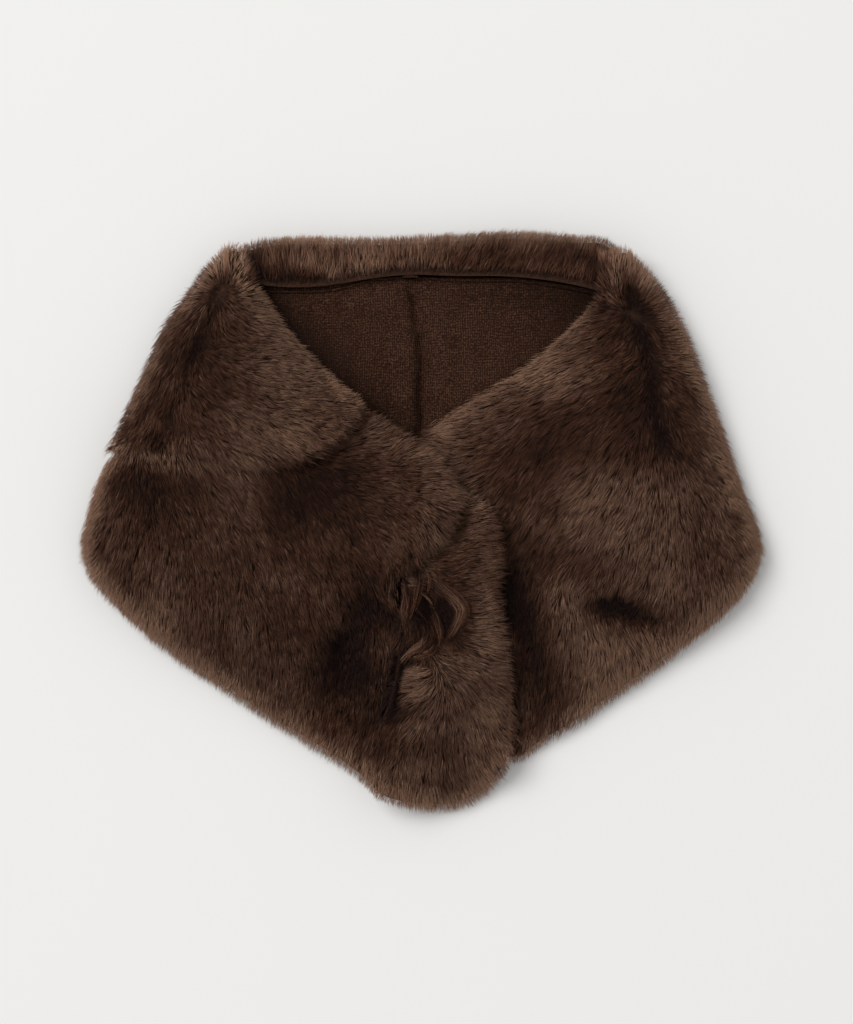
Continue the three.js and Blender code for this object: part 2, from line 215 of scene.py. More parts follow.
# How much lighter the pile is painted along lines: painted sheen where it is brushed flat along an edge
PAINTED_SHEEN = [
    *line(14, 0.36, (452, 426), (500, 386), (545, 352), (592, 314)),
    *line(13, 0.24, (258, 288), (284, 332), (320, 372), (362, 404)),
    *line(9, 0.16, (104, 458), (130, 456), (190, 458), (264, 463)),
    *line(12, 0.34, (700, 456), (722, 486), (744, 520)),
    *line(9, 0.56, (396, 586), (424, 567)),
    *line(6, 0.26, (330, 288), (400, 280), (445, 279)),
    *line(7, 0.7, (480, 394), (500, 378), (545, 344), (584, 314)),
    *line(5, 0.24, (250, 248), (300, 243), (400, 239), (500, 239), (590, 248)),
]
# Patches of the pile, each with its middle, half its width and half its height in pixels, and its tone:
# painted shade where it is darker, and painted highlights where it is lighter
PAINTED_LIGHT_ROWS = [
    (300, 503, 60, 44, -0.38), (356, 640, 36, 66, -0.46), (330, 675, 26, 24, -0.1),
    (397, 696, 11, 30, -0.3), (412, 648, 12, 12, -0.24), (522, 640, 22, 100, -0.42),
    (547, 682, 12, 34, -0.18), (538, 640, 10, 50, -0.14), (512, 592, 12, 22, -0.2),
    (614, 602, 26, 12, -0.55), (646, 614, 22, 10, -0.3), (600, 414, 56, 42, -0.28),
    (530, 465, 26, 30, -0.16), (625, 335, 24, 28, -0.14), (667, 402, 14, 26, -0.16),
    (425, 600, 24, 36, -0.14), (405, 605, 10, 16, -0.2), (206, 370, 24, 20, -0.12),
    (226, 318, 18, 18, -0.14), (160, 428, 26, 14, -0.12), (148, 508, 34, 26, -0.18),
    (256, 272, 10, 16, -0.5), (262, 280, 16, 10, -0.3), (512, 592, 12, 40, -0.2),
    (383, 602, 22, 12, -0.2), (412, 645, 8, 14, -0.2), (402, 700, 16, 12, -0.2),
    (374, 712, 12, 16, -0.2), (404, 600, 10, 14, -0.24), (436, 446, 16, 14, -0.14),
    (456, 612, 8, 16, -0.24), (385, 736, 10, 12, -0.12), (368, 656, 12, 10, -0.12),
    (511, 632, 8, 12, 0.22), (415, 720, 14, 8, 0.12), (409, 650, 12, 10, -0.24),
    (402, 676, 10, 14, -0.24), (334, 634, 14, 10, -0.14), (425, 700, 30, 8, -0.1),
    (384, 440, 16, 12, -0.12), (205, 275, 14, 16, -0.18), (656, 297, 16, 14, -0.22),
    (330, 264, 80, 7, -0.12), (528, 684, 8, 34, 0.3), (425, 613, 8, 12, 0.14),
    (472, 622, 10, 24, 0.12), (410, 722, 16, 10, 0.14), (412, 752, 20, 12, 0.1),
    (320, 258, 62, 9, -0.16), (284, 258, 16, 10, -0.12), (572, 270, 10, 8, -0.24),
    (325, 470, 28, 14, -0.12), (145, 466, 22, 8, -0.12), (243, 396, 10, 18, -0.14),
    (366, 658, 12, 12, -0.16), (334, 638, 10, 12, -0.16), (462, 622, 8, 20, -0.16),
    (424, 706, 30, 10, -0.14), (690, 366, 10, 24, -0.12), (642, 440, 18, 12, -0.12),
    (556, 720, 26, 10, -0.14), (224, 578, 24, 12, -0.1), (507, 262, 12, 14, 0.16),
    (310, 512, 44, 10, 0.12), (280, 444, 30, 10, 0.12), (430, 530, 12, 18, 0.14),
    (484, 495, 20, 14, 0.1), (436, 666, 14, 12, 0.14), (488, 700, 20, 14, 0.14),
    (515, 728, 10, 24, 0.14), (360, 742, 14, 14, 0.16), (400, 792, 26, 8, 0.14),
    (334, 606, 12, 18, 0.14), (183, 386, 9, 14, 0.14), (125, 525, 14, 24, 0.1),
    (560, 386, 32, 16, 0.12), (156, 372, 12, 24, -0.14), (182, 300, 10, 16, -0.16),
    (130, 470, 14, 10, -0.14), (316, 336, 10, 26, -0.1), (383, 634, 9, 16, 0.26),
    (650, 540, 110, 90, 0.05), (714, 508, 10, 24, 0.15), (652, 356, 12, 10, 0.12),
    (634, 298, 8, 12, 0.14), (150, 446, 22, 8, 0.2), (302, 704, 14, 12, 0.2),
    (215, 650, 24, 18, 0.14), (350, 738, 10, 12, 0.14), (400, 794, 30, 10, 0.14),
    (222, 490, 18, 24, 0.1), (470, 450, 24, 30, 0.1), (418, 470, 14, 18, 0.12),
    (385, 250, 40, 10, -0.16), (594, 278, 12, 20, -0.3), (545, 440, 14, 44, -0.16),
    (612, 598, 16, 8, -0.2), (672, 592, 20, 16, -0.16), (140, 432, 26, 16, -0.2),
    (500, 765, 26, 16, -0.2), (565, 722, 30, 12, -0.14), (480, 258, 34, 12, -0.22),
    (550, 258, 60, 14, -0.34), (155, 480, 38, 18, -0.2), (160, 430, 34, 14, -0.14),
    (305, 482, 40, 14, -0.12), (446, 610, 12, 16, -0.2), (407, 608, 10, 16, -0.2),
    (436, 258, 14, 12, -0.2), (372, 256, 20, 10, -0.14), (400, 702, 14, 12, -0.2),
    (512, 672, 8, 16, -0.2), (506, 762, 18, 14, -0.2), (305, 580, 10, 26, -0.14),
    (328, 656, 14, 18, -0.14), (366, 596, 14, 12, -0.14), (400, 608, 16, 12, -0.16),
    (207, 346, 14, 20, -0.2), (228, 376, 20, 12, -0.14), (208, 276, 16, 16, -0.16),
    (146, 412, 22, 20, -0.16), (606, 306, 14, 28, -0.24), (668, 344, 12, 14, -0.16),
    (631, 382, 12, 12, -0.14), (662, 300, 16, 16, -0.18), (685, 522, 18, 26, -0.14),
    (612, 596, 22, 8, -0.22), (150, 449, 26, 8, 0.24), (198, 444, 20, 8, 0.16),
    (276, 362, 18, 36, 0.14), (268, 312, 16, 14, 0.12), (180, 382, 9, 22, 0.16),
    (208, 308, 10, 12, 0.14), (226, 408, 16, 14, 0.14), (330, 616, 12, 12, 0.14),
    (276, 566, 20, 12, 0.12), (206, 522, 18, 18, 0.12), (458, 474, 16, 34, 0.16),
    (526, 505, 18, 12, 0.18), (606, 520, 22, 16, 0.1), (570, 450, 16, 16, 0.12),
    (640, 622, 18, 14, 0.16), (556, 596, 14, 14, 0.14), (586, 672, 16, 20, 0.1),
    (470, 640, 14, 24, 0.12), (285, 360, 50, 60, 0.24), (236, 266, 20, 28, 0.2),
    (258, 298, 14, 16, 0.3), (640, 262, 26, 18, 0.12), (310, 400, 44, 14, 0.16),
    (248, 490, 16, 44, 0.28), (225, 456, 40, 12, 0.16), (280, 570, 30, 16, 0.18),
    (343, 556, 12, 34, 0.14), (338, 616, 14, 12, 0.14), (146, 618, 52, 44, 0.26),
    (172, 590, 18, 26, 0.14), (560, 372, 46, 34, 0.2), (480, 490, 26, 16, 0.14),
    (594, 478, 32, 26, 0.22), (655, 490, 40, 26, 0.1), (510, 550, 12, 16, 0.14),
    (665, 570, 40, 22, 0.16), (705, 600, 36, 34, 0.16), (650, 636, 26, 22, 0.18),
    (582, 690, 14, 26, 0.12), (480, 700, 34, 44, 0.16), (440, 672, 24, 14, 0.14),
    (510, 636, 14, 18, 0.14), (520, 712, 10, 36, 0.16), (405, 782, 44, 20, 0.14),
    (292, 432, 62, 20, 0.16), (402, 440, 42, 22, 0.2), (430, 500, 30, 22, 0.14),
    (435, 540, 14, 14, 0.18), (415, 470, 24, 16, 0.08), (482, 497, 24, 12, 0.14),
    (550, 385, 40, 26, 0.14), (655, 520, 50, 36, 0.2), (588, 506, 36, 18, 0.14),
    (615, 652, 46, 26, 0.28), (580, 666, 16, 30, 0.12), (572, 600, 24, 26, 0.16),
    (482, 560, 18, 40, 0.1), (482, 650, 22, 50, 0.18), (505, 690, 14, 56, 0.2),
    (420, 692, 20, 36, 0.3), (480, 760, 20, 40, 0.18), (256, 525, 14, 34, 0.1),
    (342, 580, 14, 16, 0.08), (377, 664, 10, 34, 0.3), (430, 458, 26, 9, 0.2),
    (432, 528, 14, 16, 0.18), (325, 520, 34, 16, 0.16), (305, 452, 50, 10, 0.16),
    (362, 426, 14, 20, 0.14), (268, 318, 16, 26, 0.18), (270, 678, 22, 16, 0.16),
    (582, 628, 26, 26, 0.16), (478, 618, 14, 34, 0.14), (425, 766, 34, 18, 0.1),
    (96, 500, 14, 40, 0.1), (350, 262, 60, 30, 0.26), (520, 268, 80, 30, 0.16),
    (421, 250, 10, 12, 0.16), (622, 262, 26, 16, 0.24),
]
PAINTED_LIGHT_PATCHES = [patch(*row) for row in PAINTED_LIGHT_ROWS]

# Which way the pile of each piece lies, read at pixels of the photograph: column, row and heading
NAP_GUIDES = {
    "left_shoulder": [
        (228, 248, 98), (241, 249, 76), (247, 262, 62), (216, 256, 120), (206, 270, 148),
        (194, 287, 178), (246, 280, 44), (255, 291, 22), (232, 280, 72), (215, 285, 150),
        (181, 310, 206),
        (160, 345, 218), (145, 380, 222), (130, 420, 228), (114, 455, 225),
        (205, 320, 232), (222, 310, 285), (187, 360, 240), (170, 400, 242), (160, 438, 255),
        (172, 455, 275), (135, 458, 250),
        (238, 300, 340), (234, 318, 330), (264, 302, 2), (280, 325, 345),
        (215, 350, 350), (254, 358, 3), (300, 370, 352), (330, 388, 8), (350, 400, 14),
        (205, 385, 325), (238, 400, 335), (286, 404, 350), (340, 415, 340),
        (195, 420, 305), (221, 430, 312), (250, 440, 318), (294, 441, 322),
        (329, 440, 330), (190, 450, 285),
    ],
    "left_front": [
        (112, 470, 245), (99, 505, 235), (84, 546, 212), (92, 580, 228),
        (120, 505, 250), (132, 540, 256), (160, 475, 285), (150, 510, 270),
        (124, 602, 250), (156, 586, 268), (160, 635, 252), (189, 603, 268),
        (205, 627, 262), (230, 690, 252), (189, 497, 302), (221, 472, 310),
        (246, 505, 306), (213, 554, 290), (286, 489, 296), (260, 560, 288),
        (294, 586, 290), (303, 625, 288), (255, 640, 272), (290, 690, 262),
        (322, 732, 250), (344, 725, 248), (380, 770, 252), (388, 740, 262),
        (395, 695, 268), (382, 655, 268), (350, 640, 275), (340, 590, 285),
        (373, 426, 22), (340, 440, 10), (395, 451, 24), (417, 459, 24),
        (355, 475, 352), (381, 473, 2), (417, 481, 6), (447, 495, 342),
        (403, 500, 350), (320, 480, 320), (315, 517, 295), (344, 532, 302),
        (388, 517, 322), (417, 514, 324), (432, 532, 302), (429, 546, 288),
        (388, 547, 318), (329, 561, 300), (400, 575, 280), (370, 590, 285),
    ],
    "pulled_end": [
        (450, 505, 25), (476, 510, 20), (495, 520, 350), (450, 540, 12),
        (476, 539, 6), (497, 550, 355), (430, 585, 330), (455, 580, 5),
        (476, 576, 12), (498, 590, 2), (483, 612, 15), (503, 630, 355),
        (483, 622, 6), (490, 659, 350), (508, 670, 345), (490, 688, 328),
        (469, 695, 308), (450, 700, 285), (432, 717, 252), (408, 730, 225),
        (430, 692, 205), (417, 680, 180), (404, 694, 192), (430, 668, 165),
        (448, 668, 340), (440, 655, 350), (462, 660, 345), (445, 735, 272),
        (436, 690, 215), (438, 706, 235), (442, 720, 255), (450, 685, 312),
        (455, 702, 300), (453, 722, 285),
        (422, 640, 250), (403, 656, 215), (461, 732, 280), (476, 747, 300),
        (505, 735, 318), (447, 783, 286), (469, 783, 304), (417, 776, 264),
        (388, 769, 256), (395, 740, 255), (432, 805, 270), (495, 775, 312),
    ],
    "right_front": [
        (606, 246, 92), (621, 249, 80), (640, 262, 62), (656, 276, 48), (669, 291, 34),
        (678, 306, 20), (684, 322, 10), (690, 347, 6), (608, 268, 94), (625, 275, 84),
        (642, 286, 60), (655, 300, 36), (612, 288, 106), (630, 298, 84), (647, 312, 18),
        (665, 325, 20), (663, 360, 5), (700, 375, 355), (715, 404, 342),
        (609, 322, 204), (628, 328, 238), (585, 330, 214), (646, 332, 300),
        (598, 300, 170), (552, 371, 206), (601, 371, 200), (632, 360, 205),
        (569, 404, 204), (617, 404, 214), (640, 395, 225), (626, 436, 228),
        (575, 325, 180), (535, 352, 177), (495, 384, 178), (462, 412, 186),
        (642, 452, 250), (666, 444, 295), (675, 405, 328), (683, 428, 316),
        (699, 452, 316), (655, 420, 272), (731, 452, 325), (505, 398, 196),
        (447, 422, 212), (476, 429, 200), (455, 440, 165), (483, 473, 206),
        (440, 450, 170), (505, 495, 234), (520, 503, 242), (552, 436, 230),
        (536, 460, 240), (570, 477, 218), (537, 510, 240), (570, 543, 226),
        (620, 510, 236), (653, 493, 258), (686, 501, 285), (719, 485, 308),
        (744, 526, 322), (752, 560, 312), (719, 560, 286), (686, 576, 270),
        (653, 560, 252), (636, 593, 236), (586, 576, 234), (553, 609, 262),
        (570, 601, 280), (603, 626, 286), (636, 634, 300), (653, 651, 298),
        (620, 659, 276), (595, 659, 260), (686, 626, 264), (719, 609, 272),
        (561, 667, 260), (537, 642, 268), (520, 703, 268), (520, 600, 262),
        (520, 747, 264), (560, 730, 258), (660, 672, 262),
    ],
    "neck_turnover": [
        (255, 260, 92), (300, 262, 90), (350, 258, 92), (395, 255, 96),
        (420, 255, 88), (440, 255, 72), (470, 250, 60), (510, 255, 62),
        (550, 258, 64), (590, 262, 74), (610, 265, 80),
    ],
    "back_panel": [(422, 560, 270), (250, 500, 260), (600, 500, 280)],
}
NAPS = {node: [nap(*guide) for guide in guides] for node, guides in NAP_GUIDES.items()}


# Curves, colours and nodes
def linear(hex_colour):
    """An sRGB hex value as the linear colour that a shader takes."""
    parts = [int(hex_colour[i : i + 2], 16) / 255 for i in (1, 3, 5)]
    return [part / 12.92 if part <= 0.04045 else ((part + 0.055) / 1.055) ** 2.4 for part in parts] + [1.0]


def add_node(material, kind, settings=(), links=()):
    """A node in a material: its own settings, its sockets' values, and the links into it."""
    node = material.node_tree.nodes.new(kind)
    for name, value in dict(settings).items():
        if name in node.inputs:
            node.inputs[name].default_value = value
        else:
            setattr(node, name, value)
    for socket, source in dict(links).items():
        material.node_tree.links.new(source, node.inputs[socket])
    return node


def new_material(name):
    """A material with nothing but its output."""
    material = bpy.data.materials.new(name)
    material.use_nodes = True
    for node in list(material.node_tree.nodes):
        if node.type != "OUTPUT_MATERIAL":
            material.node_tree.nodes.remove(node)
    return material


def wear(material, shader):
    """The shader is what the material shows."""
    output = material.node_tree.nodes["Material Output"]
    material.node_tree.links.new(shader.outputs[0], output.inputs["Surface"])
    return material


def ramp(node, stops):
    """Sets a colour ramp's stops from (place, hex colour) pairs."""
    elements = node.color_ramp.elements
    while len(elements) > len(stops):
        elements.remove(elements[-1])
    while len(elements) < len(stops):
        elements.new(1.0)
    for element, (place, colour) in zip(elements, stops):
        element.position = place
        element.color = linear(colour)


WOOL_TUFT = 1.2 * MM
THREAD_TWIST = 0.4 * MM
ROW_PITCH = 1.6 * MM
RIB_PITCH = 1.3 * MM
# The knit's uneven places, how far its rows and ribs drift there, its worn and broken places, and its fuzz
KNIT_WANDER, ROW_DRIFT, RIB_DRIFT = 22 * MM, 5.0 * MM, 4.0 * MM
KNIT_WORN, KNIT_BROKEN, KNIT_FUZZ = 9 * MM, 5 * MM, 1.0 * MM
# Along the shoulder's edge, and in the corner under the turned-over fur, the knit is painted darker as the
# fur's shadow on it: the direction away from there, how far it is that way, how soon it fades and how dark
# it is
PAINTED_SHADOW_ON_KNIT = [
    ((0.744, 0.667), 19.7 * MM, 12.0 * MM, 0.31),
    ((-0.6, -0.8), -162.0 * MM, 24.0 * MM, 0.34),
]


def guard_hair():
    """Dyed fur, combed: each strand is dark at its root, partly its own colour and partly painted shade of
    the pile's depth, and lighter towards its tip; its tone carries painted shade and highlights.
    """
    material = new_material("dyed_fur_guard_hair")
    strand = add_node(material, "ShaderNodeUVMap", {"uv_map": "OFBake"})
    parts = add_node(material, "ShaderNodeSeparateXYZ", {}, {"Vector": strand.outputs["UV"]})
    tone = add_node(material, "ShaderNodeValToRGB", {}, {"Fac": parts.outputs["X"]})
    ramp(tone, [(0.0, "#241009"), (0.28, "#482a1c"), (0.5, "#66432f"), (0.75, "#886654"), (1.0, "#b48e74")])
    depth = add_node(material, "ShaderNodeValToRGB", {}, {"Fac": parts.outputs["Y"]})
    ramp(depth, [(0.0, "#504844"), (0.4, "#a49c98"), (0.8, "#f4f0ee"), (1.0, "#ffffff")])
    mixed = add_node(
        material,
        "ShaderNodeMixRGB",
        {"blend_type": "MULTIPLY", "Fac": 1.0},
        {"Color1": tone.outputs["Color"], "Color2": depth.outputs["Color"]},
    )
    shader = add_node(
        material,
        "ShaderNodeBsdfPrincipled",
        {"Roughness": 0.6, "Specular IOR Level": 0.14, "Sheen Weight": 0.02, "Sheen Roughness": 0.5},
        {"Base Color": mixed.outputs["Color"]},
    )
    return wear(material, shader)


def underfur():
    """The dense woolly underfur between the strands: matt, mottled and nearly black in its depth."""
    material = new_material("dyed_fur_underfur")
    place = add_node(material, "ShaderNodeTexCoord")
    wool = add_node(
        material,
        "ShaderNodeTexNoise",
        {"Scale": 1 / WOOL_TUFT, "Detail": 3.0, "Roughness": 0.6},
        {"Vector": place.outputs["Object"]},
    )
    tone = add_node(material, "ShaderNodeValToRGB", {}, {"Fac": wool.outputs["Fac"]})
    ramp(tone, [(0.3, "#1f120b"), (0.7, "#442b1e")])
    bump = add_node(
        material,
        "ShaderNodeBump",
        {"Strength": 0.8, "Distance": WOOL_TUFT / 2},
        {"Height": wool.outputs["Fac"]},
    )
    shader = add_node(
        material,
        "ShaderNodeBsdfPrincipled",
        {"Roughness": 0.95, "Specular IOR Level": 0.2},
        {"Base Color": tone.outputs["Color"], "Normal": bump.outputs["Normal"]},
    )
    return wear(material, shader)


def knit():
    """Fine machine knit, matt and a little fuzzy: rows of small stitches, uneven from place to place, with
    painted shadow along the shoulder's edge and under the turned-over fur.
    """
    material = new_material("fine_machine_knit")
    place = add_node(material, "ShaderNodeTexCoord")
    parts = add_node(material, "ShaderNodeSeparateXYZ", {}, {"Vector": place.outputs["Object"]})

    def cloud(size, detail):
        settings = {"Scale": 1 / size, "Detail": detail}
        links = {"Vector": place.outputs["Object"]}
        return add_node(material, "ShaderNodeTexNoise", settings, links).outputs["Fac"]

    def mix(operation, *terms):
        node = add_node(material, "ShaderNodeMath", {"operation": operation})
        for number, term in enumerate(terms):
            if isinstance(term, float):
                node.inputs[number].default_value = term
            else:
                material.node_tree.links.new(term, node.inputs[number])
        return node.outputs[0]

    wander = cloud(KNIT_WANDER, 2.0)

    def rows(source, pitch, drift):
        moved = mix("MULTIPLY_ADD", wander, drift, source)
        turned = mix("SINE", mix("MULTIPLY", moved, 2 * math.pi / pitch))
        return mix("MULTIPLY_ADD", turned, 0.5, 0.5)

    courses = rows(parts.outputs["Y"], ROW_PITCH, ROW_DRIFT)
    ribs = rows(parts.outputs["X"], RIB_PITCH, RIB_DRIFT)
    worn = cloud(KNIT_WORN, 2.0)
    fuzz = cloud(KNIT_FUZZ, 3.0)
    broken = mix("MULTIPLY", courses, cloud(KNIT_BROKEN, 2.0))
    stitches = mix("MULTIPLY_ADD", mix("MULTIPLY", ribs, worn), 0.34, mix("MULTIPLY", broken, 0.24))
    height = mix("MULTIPLY_ADD", fuzz, 1.3, stitches)
    darker = 0.0
    # painted shadow of the fur on the knit
    for (right, up), start, width, share in PAINTED_SHADOW_ON_KNIT:
        across = mix("MULTIPLY_ADD", parts.outputs["X"], right, mix("MULTIPLY", parts.outputs["Y"], up))
        away = mix("MAXIMUM", mix("DIVIDE", mix("SUBTRACT", across, start), width), 0.0)
        darker = mix("MULTIPLY_ADD", mix("EXPONENT", mix("MULTIPLY", away, -1.0)), share, darker)
    tone = add_node(material, "ShaderNodeValToRGB", {}, {"Fac": mix("SUBTRACT", height, darker)})
    ramp(tone, [(0.42, "#180e09"), (0.75, "#2d1b13"), (1.0, "#4b3427")])
    bump = add_node(material, "ShaderNodeBump", {"Strength": 0.6, "Distance": 0.5 * MM}, {"Height": height})
    shader = add_node(
        material,
        "ShaderNodeBsdfPrincipled",
        {"Roughness": 0.95, "Specular IOR Level": 0.05},
        {"Base Color": tone.outputs["Color"], "Normal": bump.outputs["Normal"]},
    )
    return wear(material, shader)


def thread():
    """Polyester sewing thread, dyed to match the knit, with a faint gloss."""
    material = new_material("polyester_sewing_thread")
    place = add_node(material, "ShaderNodeTexCoord")
    twist = add_node(
        material,
        "ShaderNodeTexNoise",
        {"Scale": 1 / THREAD_TWIST, "Detail": 1.0},
        {"Vector": place.outputs["Object"]},
    )
    tone = add_node(material, "ShaderNodeValToRGB", {}, {"Fac": twist.outputs["Fac"]})
    ramp(tone, [(0.3, "#1c130c"), (0.7, "#34261a")])
    shader = add_node(
        material, "ShaderNodeBsdfPrincipled", {"Roughness": 0.5}, {"Base Color": tone.outputs["Color"]}
    )
    return wear(material, shader)


GUARD_HAIR = guard_hair()
UNDERFUR = underfur()
KNIT = knit()
THREAD = thread()


# Meshes
def points_of(mesh):
    """A mesh's points as an array."""
    points = np.empty(len(mesh.vertices) * 3)
    mesh.vertices.foreach_get("co", points)
    return points.reshape(-1, 3)


def triangles_of(mesh):
    """A mesh's triangles as an array of point numbers."""
    mesh.calc_loop_triangles()
    triangles = np.empty(len(mesh.loop_triangles) * 3, np.int64)
    mesh.loop_triangles.foreach_get("vertices", triangles)
    return triangles.reshape(-1, 3)


def unit(vectors):
    """The vectors at a length of 1."""
    return vectors / np.maximum(np.linalg.norm(vectors, axis=1), 1e-12)[:, None]


def normals_of(points, triangles):
    """Unit normals and areas of triangles."""
    corners = points[triangles]
    cross = np.cross(corners[:, 1] - corners[:, 0], corners[:, 2] - corners[:, 0])
    size = np.linalg.norm(cross, axis=1)
    return cross / np.maximum(size, 1e-15)[:, None], size / 2


def pick(piece):
    """Selects a piece and nothing else."""
    bpy.ops.object.select_all(action="DESELECT")
    bpy.context.view_layer.objects.active = piece
    piece.select_set(True)


def piece_of(mesh):
    """A smooth-shaded piece that shows a mesh, under the mesh's name."""
    piece = bpy.data.objects.new(mesh.name, mesh)
    bpy.context.collection.objects.link(piece)
    pick(piece)
    bpy.ops.object.shade_smooth()
    return piece


def copy_of(node, name):
    """A new piece that starts as a copy of a node's solid, its loose triangles merged into quads."""
    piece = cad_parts[node].copy()
    piece.data = piece.data.copy()
    piece.name = name
    piece.data.name = name
    piece.parent = None
    piece.matrix_world.identity()
    bpy.context.collection.objects.link(piece)
    pick(piece)
    bpy.ops.object.mode_set(mode="EDIT")
    bpy.ops.mesh.select_all(action="SELECT")
    bpy.ops.mesh.remove_doubles(threshold=SAME_POINT)
    bpy.ops.mesh.tris_convert_to_quads(face_threshold=QUAD_ANGLE, shape_threshold=QUAD_ANGLE)
    bpy.ops.object.mode_set(mode="OBJECT")
    bpy.ops.object.shade_smooth()
    for layer_name in [layer.name for layer in piece.data.uv_layers]:
        piece.data.uv_layers.remove(piece.data.uv_layers[layer_name])
    piece.data.materials.clear()
    return piece


def smoothed(piece, levels):
    """The piece with a subdivision surface applied."""
    pick(piece)
    surface = piece.modifiers.new("surface", "SUBSURF")
    surface.levels = levels
    surface.render_levels = levels
    bpy.ops.object.modifier_apply(modifier=surface.name)
    return piece


class Outline:
    """The outline of a wall on the plan: the edges that only one of its upward faces has."""

    def __init__(self, mesh):
        points = points_of(mesh)
        triangles = triangles_of(mesh)
        normals, _ = normals_of(points, triangles)
        faces = points[triangles[normals[:, 2] > UPWARD]]
        upward = np.round(faces[:, :, :2] / PLAN_GRID).astype(np.int64)
        keys = upward[:, :, 0] * 1_000_000 + upward[:, :, 1]
        sides = np.vstack([keys[:, [0, 1]], keys[:, [1, 2]], keys[:, [2, 0]]])
        ordered = np.sort(sides, axis=1)
        _, first, count = np.unique(ordered, axis=0, return_index=True, return_counts=True)
        places = np.vstack([upward[:, [0, 1]], upward[:, [1, 2]], upward[:, [2, 0]]])
        places = places[first[count == 1]]
        self.starts = places[:, 0] * PLAN_GRID
        self.ends = places[:, 1] * PLAN_GRID
        along = self.ends - self.starts
        self.length = np.linalg.norm(along, axis=1)
        self.outward = np.stack([along[:, 1], -along[:, 0]], axis=1) / self.length[:, None]

    def past(self, places):
        """How far outside the outline the places are, and less than nothing inside it."""
        best = np.full(len(places), np.inf)
        beyond = np.zeros(len(places))
        for start, end, outward in zip(self.starts, self.ends, self.outward):
            along = end - start
            share = np.clip(((places - start) @ along) / (along @ along), 0, 1)
            there = places - start - share[:, None] * along
            distance = np.linalg.norm(there, axis=1)
            side = there @ outward
            # where a corner is nearest, the edge that the place lies most squarely off tells its side
            tie = (abs(distance - best) < SAME_DISTANCE) & (abs(side) > abs(beyond))
            nearer = (distance < best - SAME_DISTANCE) | tie
            best[nearer] = distance[nearer]
            beyond[nearer] = side[nearer]
        return best * np.where(beyond < 0, -1, 1)

    def outward_at(self, places):
        """The outline's outward direction at places on the plan, blended over its near edges."""
        middles = (self.starts + self.ends) / 2
        result = np.zeros((len(places), 2))
        for middle, length, outward in zip(middles, self.length, self.outward):
            away = np.linalg.norm(places - middle, axis=1)
            result += (length / (away + EDGE_BLEND) ** 4)[:, None] * outward
        return unit(result)


def near_lines(places, lines):
    """The value, at places on the plan, of the line of a table that is felt most there."""
    result = np.zeros(len(places))
    for start, end, half_width, value in lines:
        along = end - start
        share = np.clip(((places - start) @ along) / (along @ along), 0, 1)
        away = np.linalg.norm(places - start - share[:, None] * along, axis=1)
        here = value * np.exp(-((away / half_width) ** 2))
        result = np.where(abs(here) > abs(result), here, result)
    return result


def shade(places):
    """How much lighter or darker the pile is painted than the rest, at places on the plan: painted shade
    and highlights, and dark partings.
    """
    total = near_lines(places, PAINTED_SHADE_AND_PARTINGS) + near_lines(places, PAINTED_SHEEN)
    for x, y, half_width, half_height, tone in PAINTED_LIGHT_PATCHES:
        away = ((places[:, 0] - x) / half_width) ** 2 + ((places[:, 1] - y) / half_height) ** 2
        total += tone * np.exp(-away)
    return total


def pelt(node):
    """The underfur of a fur piece: its solid, sunk by the depth of the pile, with its underside kept."""
    piece = copy_of(node, node + "_pelt")
    outline = Outline(piece.data)
    points = points_of(piece.data)
    triangles = triangles_of(piece.data)
    normals, _ = normals_of(points, triangles)
    above = np.zeros(len(points), bool)
    above[triangles[normals[:, 2] > UPWARD]] = True
    keys = [tuple(key) for key in np.round(points[:, :2] / FOOT_GRID).astype(int)]
    feet = {key: point[2] for key, point, top in zip(keys, points, above) if not top}
    places = points[:, :2].copy()
    level = near_lines(places, LEVEL_SEAMS)
    sunk = points[:, 2] - SKIN_DEPTH * (1 - LEVEL_KEPT * level) - near_lines(places, HOLLOWS)
    foot = np.array([feet.get(key, point[2] - SKIN_DEPTH) for key, point in zip(keys, points)])
    points[:, 2] = np.where(above, np.maximum(foot + THINNEST_SKIN, sunk), points[:, 2])
    outward = outline.outward_at(places)
    heading = nap_at(places, NAPS[node])
    facing = outward[:, 0] * np.cos(heading) + outward[:, 1] * np.sin(heading)
    near = np.clip(1 + outline.past(places) / INSET_REACH, 0, 1) ** 2
    inset = SKIN_INSET * near * np.clip(INSET_INWARD + (1 - INSET_INWARD) * facing, 0, 1) * (1 - level)
    inset *= 1 - REACHING_KEPT * np.clip(near_lines(places, REACHING), 0, 1)
    inset += BLUNT_INSET * near * near_lines(places, BLUNT)
    points[:, :2] -= outward * inset[:, None]
    piece.data.vertices.foreach_set("co", points.ravel())
    piece.data.update()
    smoothed(piece, 1)
    piece.data.materials.append(UNDERFUR)
    return piece


def smooth_noise(places, size, seed):
    """A value from -1 to 1 that wanders over the plan, at about this size."""
    dice = np.random.default_rng(seed)
    total = np.zeros(len(places))
    for _ in range(NOISE_WAVES):
        heading = dice.uniform(0, 2 * math.pi)
        pitch = size * dice.uniform(0.7, 1.6)
        phase = dice.uniform(0, 2 * math.pi)
        axis = np.array([math.cos(heading), math.sin(heading)])
        total += np.sin(places @ axis * (2 * math.pi / pitch) + phase)
    return total / NOISE_SIZE


def waves(places, table):
    """Slow changes over the plan, added up from rows of how much, at what size and from which seed."""
    return sum(much * smooth_noise(places, size, seed) for much, size, seed in table)


def nap_at(places, guides):
    """The pile's heading over the plan, blended from the guides."""
    total = np.zeros((len(places), 2))
    for x, y, heading in guides:
        away = np.hypot(places[:, 0] - x, places[:, 1] - y)
        weight = 1 / (away + NAP_BLEND) ** 3
        total += weight[:, None] * [math.cos(heading), math.sin(heading)]
    return np.arctan2(total[:, 1], total[:, 0])


def in_the_open(points, above):
    """Which points have nothing of the trees above them."""
    up = Vector((0, 0, 1))
    return np.array([all(tree.ray_cast(Vector(p), up)[0] is None for tree in above) for p in points])


